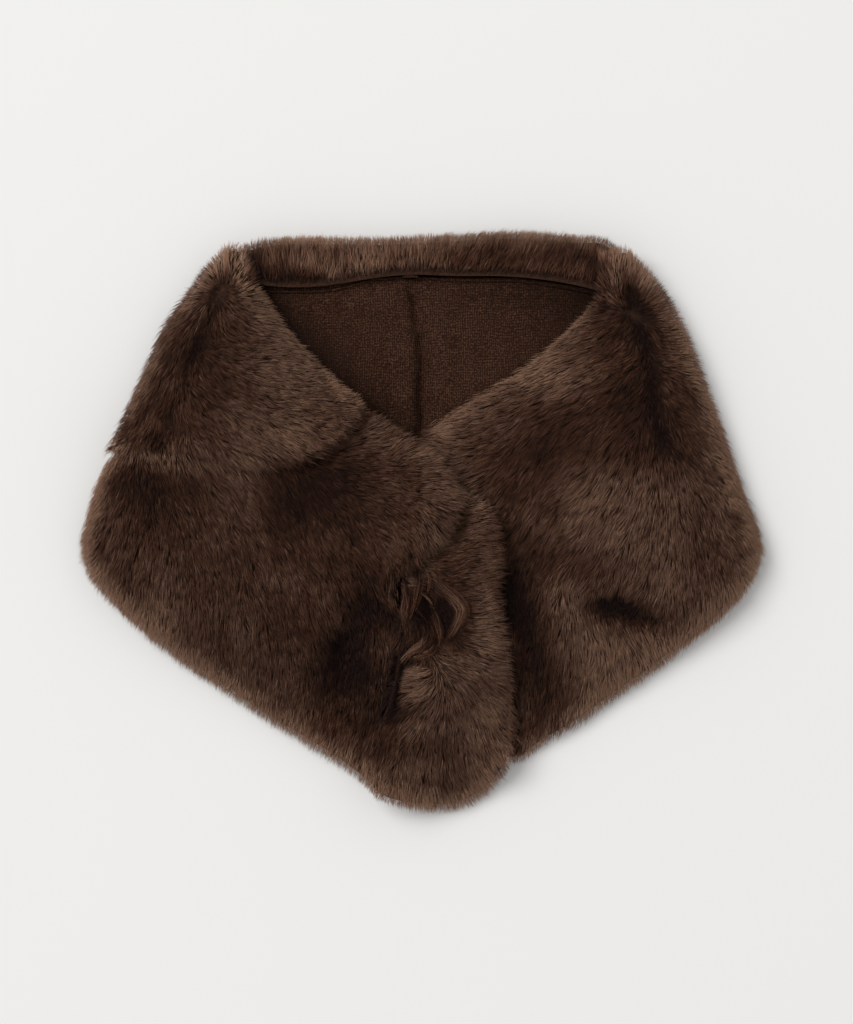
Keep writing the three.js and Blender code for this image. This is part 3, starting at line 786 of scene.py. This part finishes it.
def open_faces(skin, barred):
    """The skin's triangles that pile grows from, with their normals and areas.

    Where barred, nothing grows from the steep side towards the bottom of the plan, which is folded under.
    """
    points = points_of(skin.data)
    triangles = triangles_of(skin.data)
    normals, areas = normals_of(points, triangles)
    areas[(normals[:, 2] < DEEPEST_ROOTS) | ((normals[:, 1] < FOLDED_UNDER) & barred)] = 0
    return points[triangles], normals, areas


def scattered_roots(skin, barred):
    """Places evenly scattered over the skin, with the skin's normal at each."""
    corners, normals, areas = open_faces(skin, barred)
    count = int(areas.sum() / MM**2 * HAIRS_PER_MM2)
    chosen = DICE.choice(len(areas), count, p=areas / areas.sum())
    a, b = DICE.random((2, count, 1))
    a, b = np.where(a + b > 1, 1 - a, a), np.where(a + b > 1, 1 - b, b)
    first, second, third = np.moveaxis(corners[chosen], 1, 0)
    return first + a * (second - first) + b * (third - first), normals[chosen]


def laid_over(heading, normals):
    """The nap laid on the skin: level where that is level, and half way down where it falls away."""
    level = np.stack([np.cos(heading), np.sin(heading), np.zeros(len(heading))], axis=1)
    lean = (level * normals).sum(axis=1) / (1 + np.maximum(normals[:, 2], -0.5))
    turned = unit(level - lean[:, None] * (normals + [0, 0, 1]))
    share = (SETTLING * (1 - normals[:, 2]))[:, None]
    return unit(turned * (1 - share) + level * share)


def grow(node, skin, covers):
    """The strands of one fur piece: roots, bends, tips, half thickness, tone and how light roots are."""
    outline = OUTLINES[node]
    others = [OUTLINES[other] for other in OUTLINES if other not in (node, "back_panel")]
    folded = node == "neck_turnover"
    roots, normals = scattered_roots(skin, folded)
    count = len(roots)
    plan = roots[:, :2]
    heading = nap_at(plan, NAPS[node]) + waves(plan, NAP_WAVES) + DICE.normal(0, NAP_SPREAD, count)
    lying = laid_over(heading, normals)
    dip = np.clip(near_lines(plan, HOLLOWS) / FULL_DIP, 0, 1)
    length = HAIR_LENGTH * (1 + waves(plan, LENGTH_WAVES)) * DICE.uniform(*LENGTH_SHARES, count)
    length *= 1 - SHORTER_IN_DIPS * dip
    edge = outline.past(plan)
    facing = (lying[:, :2] * outline.outward_at(plan)).sum(axis=1)
    length *= np.where((facing < POINTS_INWARD) & (normals[:, 2] < STEEP), SHORT_ON_SIDES, 1)
    first = np.radians(ROOT_LIFT + DICE.normal(0, LIFT_SPREAD, count))[:, None]
    second = np.radians(TIP_LIFT + DICE.normal(0, LIFT_SPREAD, count))[:, None]
    to_bend = (lying * np.cos(first) + normals * np.sin(first)) * (length * BEND_AT)[:, None]
    past_bend = (lying * np.cos(second) + normals * np.sin(second)) * (length * (1 - BEND_AT))[:, None]
    to_tip = to_bend + past_bend
    shorter = trimmed(roots, to_tip, edge, outline, others)
    bend = roots + to_bend * shorter
    tip = roots + to_tip * shorter
    hold = np.clip(-edge / HOLD_REACH, LEAST_HOLD, 1) * (FOLD_HOLD if folded else 1)
    in_lock = draw_together(roots, bend, tip, hold)
    for points in (bend, tip):
        points[:, 2] = np.maximum(points[:, 2], FLOOR_CLEAR)
    keep = in_the_open(bend, covers) | in_the_open(tip, covers)
    looks = looks_of(plan, tip, edge, facing, in_lock, folded)
    return [values[keep] for values in (roots, bend, tip, *looks)]


def looks_of(plan, tip, edge, facing, in_lock, folded):
    """How thick each strand is, its tone, and how light its root is."""
    count = len(plan)
    inside = -np.min([outline.past(tip[:, :2]) for outline in OUTLINES.values()], axis=0)
    rim = np.clip(1 - inside / FRINGE_WIDTH, 0, 1)
    # the tone carries the painted shade and highlights of shade()
    tone = MIDDLE_TONE + shade(plan) + waves(plan, TONE_WAVES)
    tone += FRINGE_TONE * rim * (FOLD_FRINGE if folded else 1) + LOCK_TONE * in_lock
    tone = np.clip(tone + DICE.normal(0, TONE_SPREAD, count), *TONE_RANGE)
    near = np.clip(1.3 + edge / BARE_ROOTS, 0, 1)
    bare = np.maximum(BARE_INWARD * near * np.clip(-1.5 * facing, 0, 1), BARE_RIM * rim)
    half = HAIR_HALF * (1 - (1 - FRINGE_THIN) * rim**2) * DICE.uniform(*HALF_SHARES, count)
    return half, tone, bare


def trimmed(roots, to_tip, edge, outline, others):
    """The share of its length that each strand keeps, so that the fringe ends at the wrap's outline."""
    count = len(roots)
    share = np.full((count, 1), 1.0)
    near = np.flatnonzero(edge > -HAIR_LENGTH)
    full = (roots + to_tip)[near, :2]
    inner = np.min([other.past(full) for other in others], axis=0) < -LAPPED
    reach = np.zeros(count)
    level = near_lines(full, LEVEL_SEAMS)
    reach[near] = DICE.triangular(*FRINGE, len(near))
    reach[near] += np.where(inner, OVERLAP + LEVEL_OVERLAP * level, 0)
    reach[near] += OVERLAP * near_lines(full, REACHING)
    for shorter in TRIM_STEPS:
        tips = (roots + to_tip * share)[near, :2]
        near = near[outline.past(tips) > reach[near]]
        share[near] = shorter
    return share


def draw_together(roots, bend, tip, hold):
    """Leans the strands of each lock together, and says how near its middle each strand is."""
    in_lock = np.zeros(len(roots))
    for size, pull in LOCKS:
        count = max(1, int(len(roots) / (HAIRS_PER_MM2 * (size / MM) ** 2)))
        middles = DICE.choice(len(roots), count, replace=False)
        tree = KDTree(count)
        for i, middle in enumerate(middles):
            tree.insert(roots[middle], i)
        tree.balance()
        found = [tree.find(root) for root in roots]
        nearest = middles[[number for _, number, _ in found]]
        away = np.array([distance for _, _, distance in found])
        way = unit(tip - roots)
        alike = np.clip((way * way[nearest]).sum(axis=1), 0, 1) ** 3
        bend += (bend[nearest] - bend) * (pull * BEND_PULL * hold * alike)[:, None]
        tip += (tip[nearest] - tip) * (pull * hold * alike)[:, None]
        in_lock += np.clip(1 - LOCK_EDGE * away / size, -1, 1)
    return in_lock


def strands(name, roots, bend, tip, half, tone, bare):
    """A joined mesh of closed strands: a point at the root, three sides at the bend, a point at the tip."""
    count = len(roots)
    along = unit(tip - roots)
    side = unit(np.cross(along, DICE.normal(size=(count, 3))))
    other = np.cross(along, side)
    ring = []
    for turn in range(3):
        angle = 2 * math.pi * turn / 3
        ring.append(bend + (side * math.cos(angle) + other * math.sin(angle)) * half[:, None])
    points = np.stack([roots, *ring, tip], axis=1).reshape(-1, 3)
    root, a, b, c, end = range(POINTS_A_STRAND)
    pattern = np.array([[root, b, a], [root, c, b], [root, a, c], [a, b, end], [b, c, end], [c, a, end]])
    faces = (pattern[None] + POINTS_A_STRAND * np.arange(count)[:, None, None]).reshape(-1, 3)
    mesh = bpy.data.meshes.new(name)
    mesh.vertices.add(len(points))
    mesh.vertices.foreach_set("co", points.ravel())
    mesh.loops.add(faces.size)
    mesh.loops.foreach_set("vertex_index", faces.ravel())
    mesh.polygons.add(len(faces))
    mesh.polygons.foreach_set("loop_start", np.arange(len(faces)) * 3)
    mesh.update(calc_edges=True)
    middle = BEND_DEPTH + BARE_DEPTH * bare
    up = np.stack([ROOT_DEPTH + bare, middle, middle, middle, np.full(count, TIP_DEPTH)], axis=1)
    layer = mesh.uv_layers.new(name="OFBake")
    places = np.stack([np.repeat(tone, POINTS_A_STRAND), up.ravel()], axis=1)[faces.ravel()]
    layer.data.foreach_set("uv", places.ravel())
    mesh.materials.append(GUARD_HAIR)
    return piece_of(mesh)


# The fur pieces, from the lowest layer up: what lies over each, and the cut and area of what shows of it
FUR_PIECES = {
    "back_panel": {"over": [], "cut": (0.36, 0.21), "area": 0.066},
    "neck_turnover": {"over": ["right_front", "left_shoulder"], "cut": (0.225, 0.04), "area": 0.0075},
    "right_front": {"over": ["pulled_end", "left_front"], "cut": (0.30, 0.21), "area": 0.043},
    "pulled_end": {"over": ["left_front"], "cut": (0.19, 0.09), "area": 0.0125},
    "left_front": {"over": ["pulled_end", "left_shoulder"], "cut": (0.24, 0.23), "area": 0.037},
    "left_shoulder": {"over": [], "cut": (0.15, 0.13), "area": 0.0115},
}
OUTLINES = {node: Outline(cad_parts[node].data) for node in FUR_PIECES}


def tree_of(*meshes):
    """The meshes as one tree that rays are cast at."""
    points, triangles = [], []
    for mesh in meshes:
        triangles += (triangles_of(mesh) + len(points)).tolist()
        points += points_of(mesh).tolist()
    return BVHTree.FromPolygons(points, triangles)


def fur_piece(node, words):
    """One fur piece: its pelt, and its pile as one or more joined meshes."""
    skin = pelt(node)
    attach(skin, "root")
    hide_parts(node)
    piles = []
    if node != "back_panel":
        grown = grow(node, skin, [tree_of(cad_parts[other].data) for other in words["over"]])
        order = np.argsort(grown[0][:, 1])
        parts = max(1, math.ceil(len(order) / MOST_STRANDS))
        for number, part in enumerate(np.array_split(order, parts)):
            name = f"{node}_pile" + (f"_{number + 1}" if parts > 1 else "")
            pile = strands(name, *[values[part] for values in grown])
            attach(pile, "root")
            piles.append(pile)
    return skin, piles


# The lining, creased along listed lines, and the seam that joins it to the fur at the neck edge
CREASE_COLUMN = 420.5  # where the main crease runs
# How far the main crease's sides close over it: 1 is wholly
CLOSED = line(4.5, 0.45, (CREASE_COLUMN, 350), (CREASE_COLUMN, 450))
# How high the lining is pushed up, or pressed down, at its creases
CREASES = [
    *line(9, 3.2 * MM, (402, 300), (407, 345), (409, 450)),
    *line(10, 1.8 * MM, (440, 330), (440, 450)),
    *line(4.5, -2.4 * MM, (411, 290), (CREASE_COLUMN, 335)),
    *line(3.6, -5.0 * MM, (CREASE_COLUMN, 335), (CREASE_COLUMN, 358)),
    *line(3.0, -9.0 * MM, (CREASE_COLUMN, 358), (CREASE_COLUMN, 450)),
    *line(4, -0.7 * MM, (305, 298), (358, 290)),
    *line(8, 0.7 * MM, (300, 306), (352, 300)),
    *line(10, -1.4 * MM, (480, 302), (580, 314)),
]
# The pixels that the neck seam passes
SEAM = [
    (254, 293), (280, 293), (310, 293), (335, 291), (352, 287), (372, 281), (392, 279), (412, 278),
    (435, 280), (460, 281), (490, 281), (515, 281), (540, 284), (565, 288), (590, 293), (606, 298),
]
LINING_THICKNESS = 0.9 * MM
LINING_FOOT = 4.2 * MM  # as low as the lining's creases go, over the floor
STITCHED_FROM = 437  # the column from which the seam is a doubled, stitched band
OVERHEAD = 100.0 * MM  # higher than anything on the wrap
SEAM_STEP = 1.2 * MM
SEAM_HALF = 0.75 * MM
BAND_HALF = 1.5 * MM
BAND_GROWS = 6.0 * MM  # how far the seam takes to widen into the band
SEAM_LIFT = 1.0 * MM
SEAM_FLATNESS = 0.8
STITCH_PITCH = 2.1 * MM
STITCH_HALF = 0.17 * MM
STITCH_LIFT = 0.7 * BAND_HALF  # how far over the band's middle a stitch passes
STITCH_REACH = np.array([0.5 * MM, 1.2 * MM, 0.7 * MM])  # from a stitch's top to its ends


def creased_lining():
    """The lining's sheet of knit, with its creases pressed through both of its faces."""
    lining = smoothed(copy_of("back_lining", "lining_knit"), 3)
    points = points_of(lining.data)
    normals = np.empty(len(points) * 3)
    lining.data.vertices.foreach_get("normal", normals)
    upper = normals.reshape(-1, 3)[:, 2] > 0
    lowest = LINING_FOOT + np.where(upper, LINING_THICKNESS, 0)
    points[:, 2] = np.maximum(points[:, 2] + near_lines(points[:, :2], CREASES), lowest)
    points[:, 0] += (on_plan(CREASE_COLUMN, 0)[0] - points[:, 0]) * near_lines(points[:, :2], CLOSED)
    lining.data.vertices.foreach_set("co", points.ravel())
    lining.data.update()
    lining.data.materials.append(KNIT)
    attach(lining, "root")
    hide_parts("back_lining")
    return lining


def tube(middles, halves, sides, flatness=1.0):
    """A closed tube of joined rings along places, which ends in a point at both ends."""
    middles = np.array(middles)
    along = unit(np.gradient(middles, axis=0))
    side = unit(np.cross(along, [0, 0, 1]))
    above = np.cross(side, along)
    turns = 2 * math.pi * np.arange(sides) / sides
    rings = [
        middle + half * (math.cos(turn) * across + flatness * math.sin(turn) * up)
        for middle, half, across, up in zip(middles, halves, side, above)
        for turn in turns
    ]
    start, end = middles[0] - along[0] * halves[0], middles[-1] + along[-1] * halves[-1]
    points = np.array([start, *rings, end])
    last = len(points) - 1
    faces = []
    for ring in range(len(middles) - 1):
        for i in range(sides):
            a, b = 1 + ring * sides + i, 1 + ring * sides + (i + 1) % sides
            faces.append((a, a + sides, b + sides, b))
    for i in range(sides):
        j = (i + 1) % sides
        faces.append((0, 1 + i, 1 + j))
        faces.append((last, last - sides + j, last - sides + i))
    return points, faces


def joined(name, parts, material):
    """One piece made of closed parts, each of its own points and faces."""
    points, faces = [], []
    for part_points, part_faces in parts:
        faces += [tuple(i + len(points) for i in face) for face in part_faces]
        points += [tuple(point) for point in part_points]
    mesh = bpy.data.meshes.new(name)
    mesh.from_pydata(points, [], faces)
    mesh.materials.append(material)
    return piece_of(mesh)


def evenly(path, step):
    """Places at an even step along a path."""
    path = np.array(path)
    run = np.concatenate([[0], np.cumsum(np.linalg.norm(np.diff(path, axis=0), axis=1))])
    stops = np.arange(0, run[-1], step)
    return np.stack([np.interp(stops, run, path[:, axis]) for axis in range(path.shape[1])], axis=1)


def on_top(tree, places, lift):
    """Places on the plan, set on the mesh below them, or as high as its nearest point."""
    result = []
    for x, y in places:
        high = Vector((x, y, OVERHEAD))
        hit = tree.ray_cast(high, Vector((0, 0, -1)))[0]
        if hit is None:
            hit = tree.find_nearest(high)[0]
        result.append((x, y, hit.z + lift))
    return result


def neck_seam(lining):
    """The seam under the turned-over fur: a thin welt on the left, a stitched band on the right."""
    start = on_plan(STITCHED_FROM, 0)[0]
    route = evenly([on_plan(*pixel) for pixel in SEAM], SEAM_STEP)
    welt = on_top(tree_of(lining.data), route, SEAM_LIFT)
    grown = np.clip((np.array(welt)[:, 0] - start) / BAND_GROWS, 0, 1)
    halves = SEAM_HALF + (BAND_HALF - SEAM_HALF) * grown
    seam = joined("neck_seam_welt", [tube(welt, halves, 8, SEAM_FLATNESS)], KNIT)
    band = np.array([place for place in welt if place[0] > start + BAND_GROWS])
    stitches = []
    for place in evenly(band, STITCH_PITCH):
        top = place + [0, 0, STITCH_LIFT]
        run = [top + STITCH_REACH * [-1, -1, -1], top, top + STITCH_REACH * [1, 1, -1]]
        stitches.append(tube(run, [STITCH_HALF] * 3, 5))
    sewn = joined("neck_seam_stitches", stitches, THREAD)
    for piece in (seam, sewn):
        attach(piece, "root")
    return [seam, sewn]


# The wiry locks that stand loose where the end is pulled through the slit
LOOSE_LOCKS = [
    # the pixels that a lock passes, its height over the pelt in mm at its start, middle and end,
    # half its width in pixels, its strands and its tone
    ([(438, 572), (441, 583), (449, 590), (458, 598), (464, 607), (463, 616), (458, 626), (449, 641)],
     (5, 8, 4), 4.6, 84, 0.52),
    ([(433, 574), (437, 586), (446, 594), (455, 602), (460, 610), (457, 622), (450, 634), (443, 644)],
     (4, 6, 4), 3.4, 54, 0.34),
    ([(417, 588), (424, 594), (430, 600), (434, 607)], (5, 7, 5), 1.2, 9, 0.72),
    ([(412, 602), (419, 611), (426, 619), (432, 626)], (5, 7, 5), 1.0, 8, 0.82),
    ([(429, 604), (434, 615), (438, 626), (440, 636), (438, 648)], (4, 7, 5), 4.0, 44, 0.5),
    ([(421, 600), (426, 612), (431, 624), (432, 636), (426, 648)], (4, 6, 5), 4.0, 36, 0.38),
    ([(415, 566), (418, 578), (417, 592), (413, 606), (408, 620)], (5, 7, 5), 4.4, 44, 0.34),
    ([(405, 578), (407, 592), (407, 606), (403, 620)], (5, 6, 5), 4.4, 36, 0.28),
    ([(428, 568), (431, 578), (430, 588), (426, 598)], (5, 6, 4), 2.0, 14, 0.48),
    ([(426, 628), (424, 637), (418, 645), (408, 653), (400, 662)], (5, 7, 5), 4.6, 44, 0.56),
    ([(440, 640), (432, 650), (420, 654), (408, 658)], (5, 6, 5), 4.2, 36, 0.5),
]
LOOSE_HALF = 0.14 * MM
LOOSE_STEPS = 12  # between two of the places that a lock passes
LOOSE_RINGS = 9
LOOSE_SIDES = 3
LOOSE_TAPER = ([0, 0.3, 0.7, 1], [0.5, 1, 0.9, 0.35])  # places along a strand, and its thickness there
LOOSE_PROFILE = (0.2 * math.pi, 0.82 * math.pi)  # the part of a sine's arch that a lock's width follows
LOOSE_STARTS = (0, 0.25)  # where along their lock strands start
LOOSE_STOPS = (0.75, 1.0)  # and where they stop
LOOSE_SPREAD = 0.55  # how far strands stray from their lock's middle, as a share of its half width
LOOSE_WAVE = 0.34  # and how far they wave
LOOSE_WAVES = (4, 8)  # how fast they wave, as an angle along the lock
LOOSE_TONE_SPREAD = 0.2  # how much lighter and darker they are from strand to strand
LOOSE_TONE_ACROSS = 0.12  # and across their lock
LOOSE_DEPTHS = (0.3, 0.4, 0.95)  # from dark to light: at a strand's root, just past it, and near its tip, the root partly painted shade of the pile's depth
LOOSE_HEIGHT = 0.8  # how high a lock is, as a share of its width
LOCK_SMOOTHING = 5  # steps over which the height of what a lock lies on is evened out


def lock_middle(tree, pixels, heights):
    """The places along the middle of a loose lock, over what it lies on."""
    path = smooth_path([on_plan(*pixel) for pixel in pixels], LOOSE_STEPS)
    middle = np.array(on_top(tree, path, 0))
    middle[:, 2] += np.interp(np.linspace(0, 1, len(path)), [0, 0.5, 1], heights) * MM
    padded = np.pad(middle[:, 2], LOCK_SMOOTHING // 2, mode="edge")
    middle[:, 2] = np.convolve(padded, np.ones(LOCK_SMOOTHING) / LOCK_SMOOTHING, mode="valid")
    return middle


def loose_locks(tree):
    """The loose locks as one joined mesh of long strands that curve along their lock."""
    points, uvs, faces = [], [], []
    steps = np.linspace(0, 1, LOOSE_RINGS)
    taper = np.interp(steps, *LOOSE_TAPER) * LOOSE_HALF
    root, low, high = LOOSE_DEPTHS
    depths = [root, *np.repeat(np.linspace(low, high, LOOSE_RINGS), LOOSE_SIDES), TIP_DEPTH]
    for pixels, heights, half_width, count, tone in LOOSE_LOCKS:
        middle = lock_middle(tree, pixels, heights)
        along = np.linspace(0, 1, len(middle))
        side = unit(np.cross(unit(np.gradient(middle, axis=0)), [0, 0, 1]))
        spread = np.sin(np.interp(along, [0, 1], LOOSE_PROFILE)) * half_width * PIXEL
        for _ in range(count):
            across, up = DICE.normal(0, LOOSE_SPREAD, 2)
            wave = LOOSE_WAVE * np.sin(along * DICE.uniform(*LOOSE_WAVES) + DICE.uniform(0, 6))
            own = np.linspace(DICE.uniform(*LOOSE_STARTS), DICE.uniform(*LOOSE_STOPS), LOOSE_RINGS)
            strand = middle + side * ((across + wave) * spread)[:, None]
            strand[:, 2] += LOOSE_HEIGHT * (up * spread)
            route = np.stack([np.interp(own, along, strand[:, axis]) for axis in range(3)], axis=1)
            part_points, part_faces = tube(route, taper, LOOSE_SIDES)
            strand_tone = tone + LOOSE_TONE_SPREAD * DICE.normal() + LOOSE_TONE_ACROSS * across
            faces += [tuple(i + len(points) for i in face) for face in part_faces]
            points += part_points.tolist()
            uvs += [(np.clip(strand_tone, *TONE_RANGE), depth) for depth in depths]
    mesh = bpy.data.meshes.new("slit_loose_locks")
    mesh.from_pydata(points, [], faces)
    layer = mesh.uv_layers.new(name="OFBake")
    corners = np.empty(len(mesh.loops), np.int64)
    mesh.loops.foreach_get("vertex_index", corners)
    layer.data.foreach_set("uv", np.array(uvs)[corners].ravel())
    mesh.materials.append(GUARD_HAIR)
    piece = piece_of(mesh)
    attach(piece, "root")
    return piece


def smooth_path(places, count):
    """A smooth path of so many steps between neighbours through places on the plan."""
    places = np.array([places[0], *places, places[-1]])
    result = []
    for i in range(1, len(places) - 2):
        before, start, end, after = places[i - 1 : i + 3]
        bend = 2 * before - 5 * start + 4 * end - after
        twist = 3 * start - before - 3 * end + after
        for t in np.linspace(0, 1, count, endpoint=False):
            result.append(0.5 * (2 * start + (end - before) * t + bend * t**2 + twist * t**3))
    return np.array(result)


# Floor, light and camera
FLOOR_SIZE = 6.0
KEY_PLACE = (-3.8, 3.0, 6.9)
KEY_SIZE = 4.6
KEY_ENERGY = 470.0
SKY_STRENGTH = 0.56
CAMERA_HEIGHT = 2.4
SENSOR_WIDTH = 36.0


def studio():
    """A pale floor, one large soft light from the upper left, and a camera looking straight down."""
    bpy.ops.mesh.primitive_plane_add(size=FLOOR_SIZE, location=(0, 0, 0))
    floor = bpy.context.object
    floor.name = "floor"
    paper = new_material("matt_white_paper")
    settings = {"Base Color": linear("#e8e7e5"), "Roughness": 0.9}
    floor.data.materials.append(wear(paper, add_node(paper, "ShaderNodeBsdfPrincipled", settings)))

    bpy.ops.object.light_add(type="AREA", location=KEY_PLACE)
    key = bpy.context.object
    key.data.size = KEY_SIZE
    key.data.energy = KEY_ENERGY
    key.rotation_euler = (-key.location).to_track_quat("-Z", "Y").to_euler()
    sky = bpy.data.worlds.new("studio")
    bpy.context.scene.world = sky
    sky.use_nodes = True
    background = sky.node_tree.nodes["Background"]
    background.inputs["Color"].default_value = linear("#ffffff")
    background.inputs["Strength"].default_value = SKY_STRENGTH

    bpy.ops.object.camera_add(location=(0, 0, CAMERA_HEIGHT), rotation=(0, 0, 0))
    camera = bpy.context.object
    camera.data.sensor_fit = "AUTO"
    camera.data.sensor_width = SENSOR_WIDTH
    camera.data.lens = SENSOR_WIDTH * CAMERA_HEIGHT / (PHOTO_HEIGHT * PIXEL)
    camera.data.shift_x = (PHOTO_WIDTH / 2 - MIDDLE_COLUMN) / PHOTO_HEIGHT
    camera.data.shift_y = (MIDDLE_ROW - PHOTO_HEIGHT / 2) / PHOTO_HEIGHT
    bpy.context.scene.camera = camera
    bpy.context.scene.view_settings.view_transform = "Standard"


pelts = {node: fur_piece(node, words) for node, words in FUR_PIECES.items()}
slit_sides = [pelts[node][0].data for node in ("pulled_end", "left_front")]
pelts["pulled_end"][1].append(loose_locks(tree_of(*slit_sides)))
lining = creased_lining()
neck_seam(lining)
studio()
